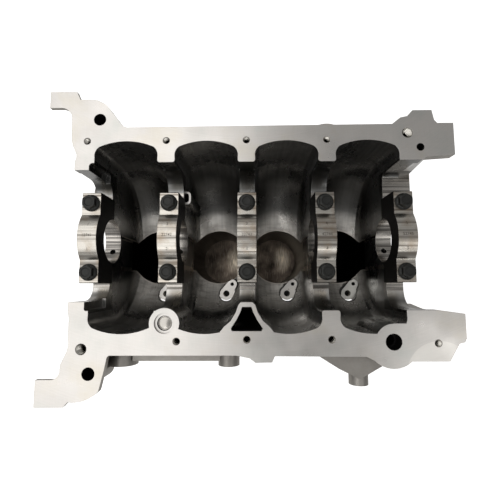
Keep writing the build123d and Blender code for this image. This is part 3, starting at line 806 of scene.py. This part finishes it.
class HoleThreads(bpy.types.Operator):
    """Winds thread ridges into the tapped holes of the casting"""

    bl_idname = "engine_block.hole_threads"
    bl_label = "Threads in the tapped holes"

    def execute(self, context):
        fine, coarse = sizes().fine_pitch, sizes().coarse_pitch
        along, aside = JET_HOLES[0][:2]
        jets = [((x + along) / MM, aside / MM, JET_PAD_Z / MM) for x in BORE_X]

        # Name, holes, outer and inner radius in millimetres, pitch, and size of each copy
        rows = (
            ("threads_m8", M8_HOLES, 4.0, 3.35, fine, 1.0),
            ("threads_jets", [((0, 0, 1), jets)], 4.0, 3.35, fine, 1.125),
            ("threads_m10", M10_HOLES, 5.0, 4.15, 1.2 * fine, 1.0),
            ("threads_m12", M12_HOLES, 6.0, 5.05, coarse, 1.0),
        )
        metal = cut_thread()
        for name, holes, major, minor, pitch, scale in rows:
            shape = thread_mesh(name + "_shape", major * MM, minor * MM, pitch, turns=7)
            spots = [(Vector(place) * MM, axis) for axis, places in holes for place in places]
            threads = place_copies(name, shape, spots, metal, scale)
            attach(threads, "root")
        return {"FINISHED"}


class CupPlug(bpy.types.Operator):
    """A pressed cup plug with a rolled rim, in place of the plain one"""

    bl_idname = "engine_block.cup_plug"
    bl_label = "Cup plug"

    def execute(self, context):
        # Radius and height under the rail in millimetres: under the cup, its lip, into the cup
        profile = [(0.5, -6.1), (6.4, -6.2), (6.5, -13), (8, -13), (8, -4.9), (7.7, -4.3)]
        profile += [(7.2, -4), (6.6, -4.2), (6.2, -4.9), (5.2, -4.7), (3, -4.15), (0.5, -4.0)]
        rings = [circle(radius * MM, height * MM) for radius, height in profile]
        spots = [((*CUP_CENTER, RAIL_Z), (0, 0, 1))]
        plug = place_copies("cup_plug", ring_mesh("cup_plug_shape", rings), spots, zinc_plate())
        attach(plug, "root")
        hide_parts("rail_cup_plug")
        return {"FINISHED"}


class CapMarks(bpy.types.Operator):
    """Plain numbers stamped across the crown of each cap"""

    bl_idname = "engine_block.cap_marks"
    bl_label = "Numbers on the caps"

    def execute(self, context):
        metal = stamped_mark()
        for number, x in enumerate(WEB_X, 1):
            # Words, and their distance along the crown in millimetres
            rows = ((str(number), 14.5), (f"{number}274{number}", 1.5), (str(number), -14.5))
            for row, (words, along) in enumerate(rows):
                mark = self.stamp(f"cap_mark_{number}_{row}", words, x, along * MM)
                mark.data.materials.append(metal)
                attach(mark, "root")
        return {"FINISHED"}

    def stamp(self, name, words, x, along):
        """One row of text, bent over the crown."""
        font = bpy.data.curves.new(name + "_text", "FONT")
        font.body = words
        font.size = sizes().mark_height
        font.align_x = font.align_y = "CENTER"
        carrier = add_object(name + "_text", font)
        mesh = made_mesh(name, carrier)
        bpy.data.objects.remove(carrier)
        for vertex in mesh.vertices:
            angle = (vertex.co.y + along) / CROWN_RADIUS
            lift = CROWN_RADIUS + 0.03 * MM
            height = CROWN_TOP - CROWN_RADIUS + lift * math.cos(angle)
            vertex.co = (x + vertex.co.x * 0.95, lift * math.sin(angle), height)
        mesh.update()
        return add_object(name, mesh)


class Studio(bpy.types.Operator):
    """Pale floor, soft lamps and the camera at the photograph's place"""

    bl_idname = "engine_block.studio"
    bl_label = "Studio"

    def execute(self, context):
        scene = context.scene
        scene.view_settings.view_transform = "Standard"
        floor = self.plane("floor", (0, 0, -0.4 * MM), (6.0, 6.0), self.floor_material())
        bench = self.bench_material()

        # Plates under the deck, in millimetres: name, middle and sides
        plates = (
            ("bores", 0, -12, 360, 120),
            ("drain", 0, -91, 40, 34),
            ("vent", -82, 57.5, 19, 19),
        )
        for name, x, y, wide, deep in plates:
            place = (x * MM, y * MM, -0.2 * MM)
            self.plane("bench_under_" + name, place, (wide * MM, deep * MM), bench)
        self.camera(scene)
        power = sizes().lamp_power
        self.lamp("window_lamp", (-0.73, 0.15, 1.45), (1.3, 2.4), power, turn=8)
        self.lamp("side_lamp", (0.95, -0.5, 1.45), (0.5, 0.6), 0.12 * power)
        self.lamp("front_lamp", (0.1, -0.84, 1.2), (1.2, 0.3), 0.2 * power)
        self.world(scene)
        return {"FINISHED"}

    def plane(self, name, place, sides, material):
        """A level plane with the given sides."""
        wide, deep = sides[0] / 2, sides[1] / 2
        mesh = bpy.data.meshes.new(name)
        corners = [(-wide, -deep, 0), (wide, -deep, 0), (wide, deep, 0), (-wide, deep, 0)]
        mesh.from_pydata(corners, [], [(0, 1, 2, 3)])
        mesh.materials.append(material)
        made = add_object(name, mesh)
        made.location = place
        return made

    def floor_material(self):
        """Matt floor that shows white to the camera and keeps the block's shadow."""
        made, tree, shader = new_material("studio_floor", colours().floor, 0.9, 0.0)
        shader.inputs["Specular IOR Level"].default_value = 0
        rays = add_node(tree, "ShaderNodeLightPath")
        mirrored = product(tree, (rays.outputs["Is Glossy Ray"], 0.15))
        inputs = (rays.outputs["Is Camera Ray"], 0.7, mirrored)
        glow = add_node(tree, "ShaderNodeMath", inputs, operation="MULTIPLY_ADD")
        shader.inputs["Emission Color"].default_value = (1, 1, 1, 1)
        tree.links.new(glow.outputs[0], shader.inputs["Emission Strength"])
        return made

    def bench_material(self):
        """Oiled brown steel plate with cloudy stains, a painted glare under the middle bores and
        painted shade under the end bores.
        """
        made, tree, shader = new_material("oiled_steel_plate", colours().bench, 0.36)
        clouds = even_grain(tree, 29.41, 4, 0.6)
        scratches = grain(tree, (1.111, 16.67, 16.67), 3, 0.6, turn=(0, 0, 0.7))
        shade = lay_over(tree, colours().bench, linear("2c2622"), clouds, 0.3, 0.7, high=0.8)
        shade = lay_over(tree, shade, linear("d8cbbb"), scratches, 0.55, 0.7, high=0.3)

        # A painted glare right of each middle bore's centre, and painted shade, black, under the
        # end bores
        glares = []
        for x in BORE_X[1:3]:
            away = reach(tree, (x + 17 * MM, 4 * MM, 0), (1, 0.6, 0))
            inputs = (away, 2 * MM, 17 * MM, 1.0, 0.0)
            glares.append(add_node(tree, "ShaderNodeMapRange", inputs).outputs[0])
        inputs = (scratches, 0.4, 0.6, 0.25, 1.0)
        broken = add_node(tree, "ShaderNodeMapRange", inputs).outputs[0]
        glare = product(tree, (largest(tree, glares), broken))
        shade = lay_over(tree, shade, linear("fff0d8"), glare)
        place = add_node(tree, "ShaderNodeSeparateXYZ", (coordinates(tree),))
        inputs = (place.outputs["X"],)
        along = add_node(tree, "ShaderNodeMath", inputs, operation="ABSOLUTE").outputs[0]
        # Painted shade: black under the end bores
        shade = lay_over(tree, shade, linear("070707"), along, 82 * MM, 98 * MM)
        tree.links.new(shade, shader.inputs["Base Color"])
        rough = add_node(tree, "ShaderNodeMapRange", (clouds, 0.3, 0.7, 0.28, 0.5)).outputs[0]
        tree.links.new(rough, shader.inputs["Roughness"])
        return made

    def camera(self, scene):
        """The camera, solved from the photograph: above the bays, a little to the near side."""
        data = bpy.data.cameras.new("camera")
        data.sensor_width = 36.0
        data.lens = 24.45
        made = add_object("camera", data)
        made.location = (6.98 * MM, -52.71 * MM, RAIL_Z + 366.95 * MM)
        turned = Matrix.Identity(3)
        for angle, axis in ((0.004, "Z"), (-0.009, "Y"), (-0.097, "X")):
            turned = turned @ Matrix.Rotation(angle, 3, axis)
        made.rotation_euler = turned.transposed().to_euler()
        scene.camera = made

    def lamp(self, name, place, size, power, turn=0):
        """A rectangular lamp that looks straight down, turned clockwise by so many degrees."""
        data = bpy.data.lights.new(name, "AREA")
        data.shape = "RECTANGLE"
        data.size, data.size_y = size
        data.energy = power
        made = add_object(name, data)
        made.location = place
        made.rotation_euler.z = -math.radians(turn)

    def world(self, scene):
        """A soft grey sky that shows white to the camera."""
        made = bpy.data.worlds.new("studio")
        made.use_nodes = True
        tree = made.node_tree
        sky = tree.nodes["Background"]
        rays = add_node(tree, "ShaderNodeLightPath")
        inputs = (rays.outputs["Is Camera Ray"], 0.0, 1.0, 0.38, 1.0)
        strength = add_node(tree, "ShaderNodeMapRange", inputs)
        sky.inputs["Color"].default_value = (1, 1, 1, 1)
        tree.links.new(strength.outputs[0], sky.inputs["Strength"])
        scene.world = made


OPERATORS = (PaintCasting, PaintSmallPieces, CapBolts, HoleThreads, CupPlug, CapMarks, Studio)


class EngineBlockPanel(bpy.types.Panel):
    """Lists the steps that dress the engine block"""

    bl_label = "Engine block"
    bl_idname = "VIEW3D_PT_engine_block"
    bl_space_type = "VIEW_3D"
    bl_region_type = "UI"
    bl_category = "Engine block"

    def draw(self, context):
        for operator in OPERATORS:
            self.layout.operator(operator.bl_idname)
        for group in (context.scene.engine_block_sizes, context.scene.engine_block_colours):
            for name in group.bl_rna.properties.keys():
                if name not in {"rna_type", "name"}:
                    self.layout.prop(group, name)


CLASSES = (EngineBlockColours, EngineBlockSizes, *OPERATORS, EngineBlockPanel)


def register():
    """Adds the classes and the settings."""
    for made in CLASSES:
        bpy.utils.register_class(made)
    bpy.types.Scene.engine_block_colours = bpy.props.PointerProperty(type=EngineBlockColours)
    bpy.types.Scene.engine_block_sizes = bpy.props.PointerProperty(type=EngineBlockSizes)


def unregister():
    """Takes them away again."""
    del bpy.types.Scene.engine_block_colours
    del bpy.types.Scene.engine_block_sizes
    for made in reversed(CLASSES):
        bpy.utils.unregister_class(made)


def main():
    """Dresses the block."""
    register()
    bpy.ops.engine_block.paint_casting()
    bpy.ops.engine_block.paint_small_pieces()
    bpy.ops.engine_block.cap_bolts()
    bpy.ops.engine_block.hole_threads()
    bpy.ops.engine_block.cup_plug()
    bpy.ops.engine_block.cap_marks()
    bpy.ops.engine_block.studio()


if __name__ == "__main__":
    main()
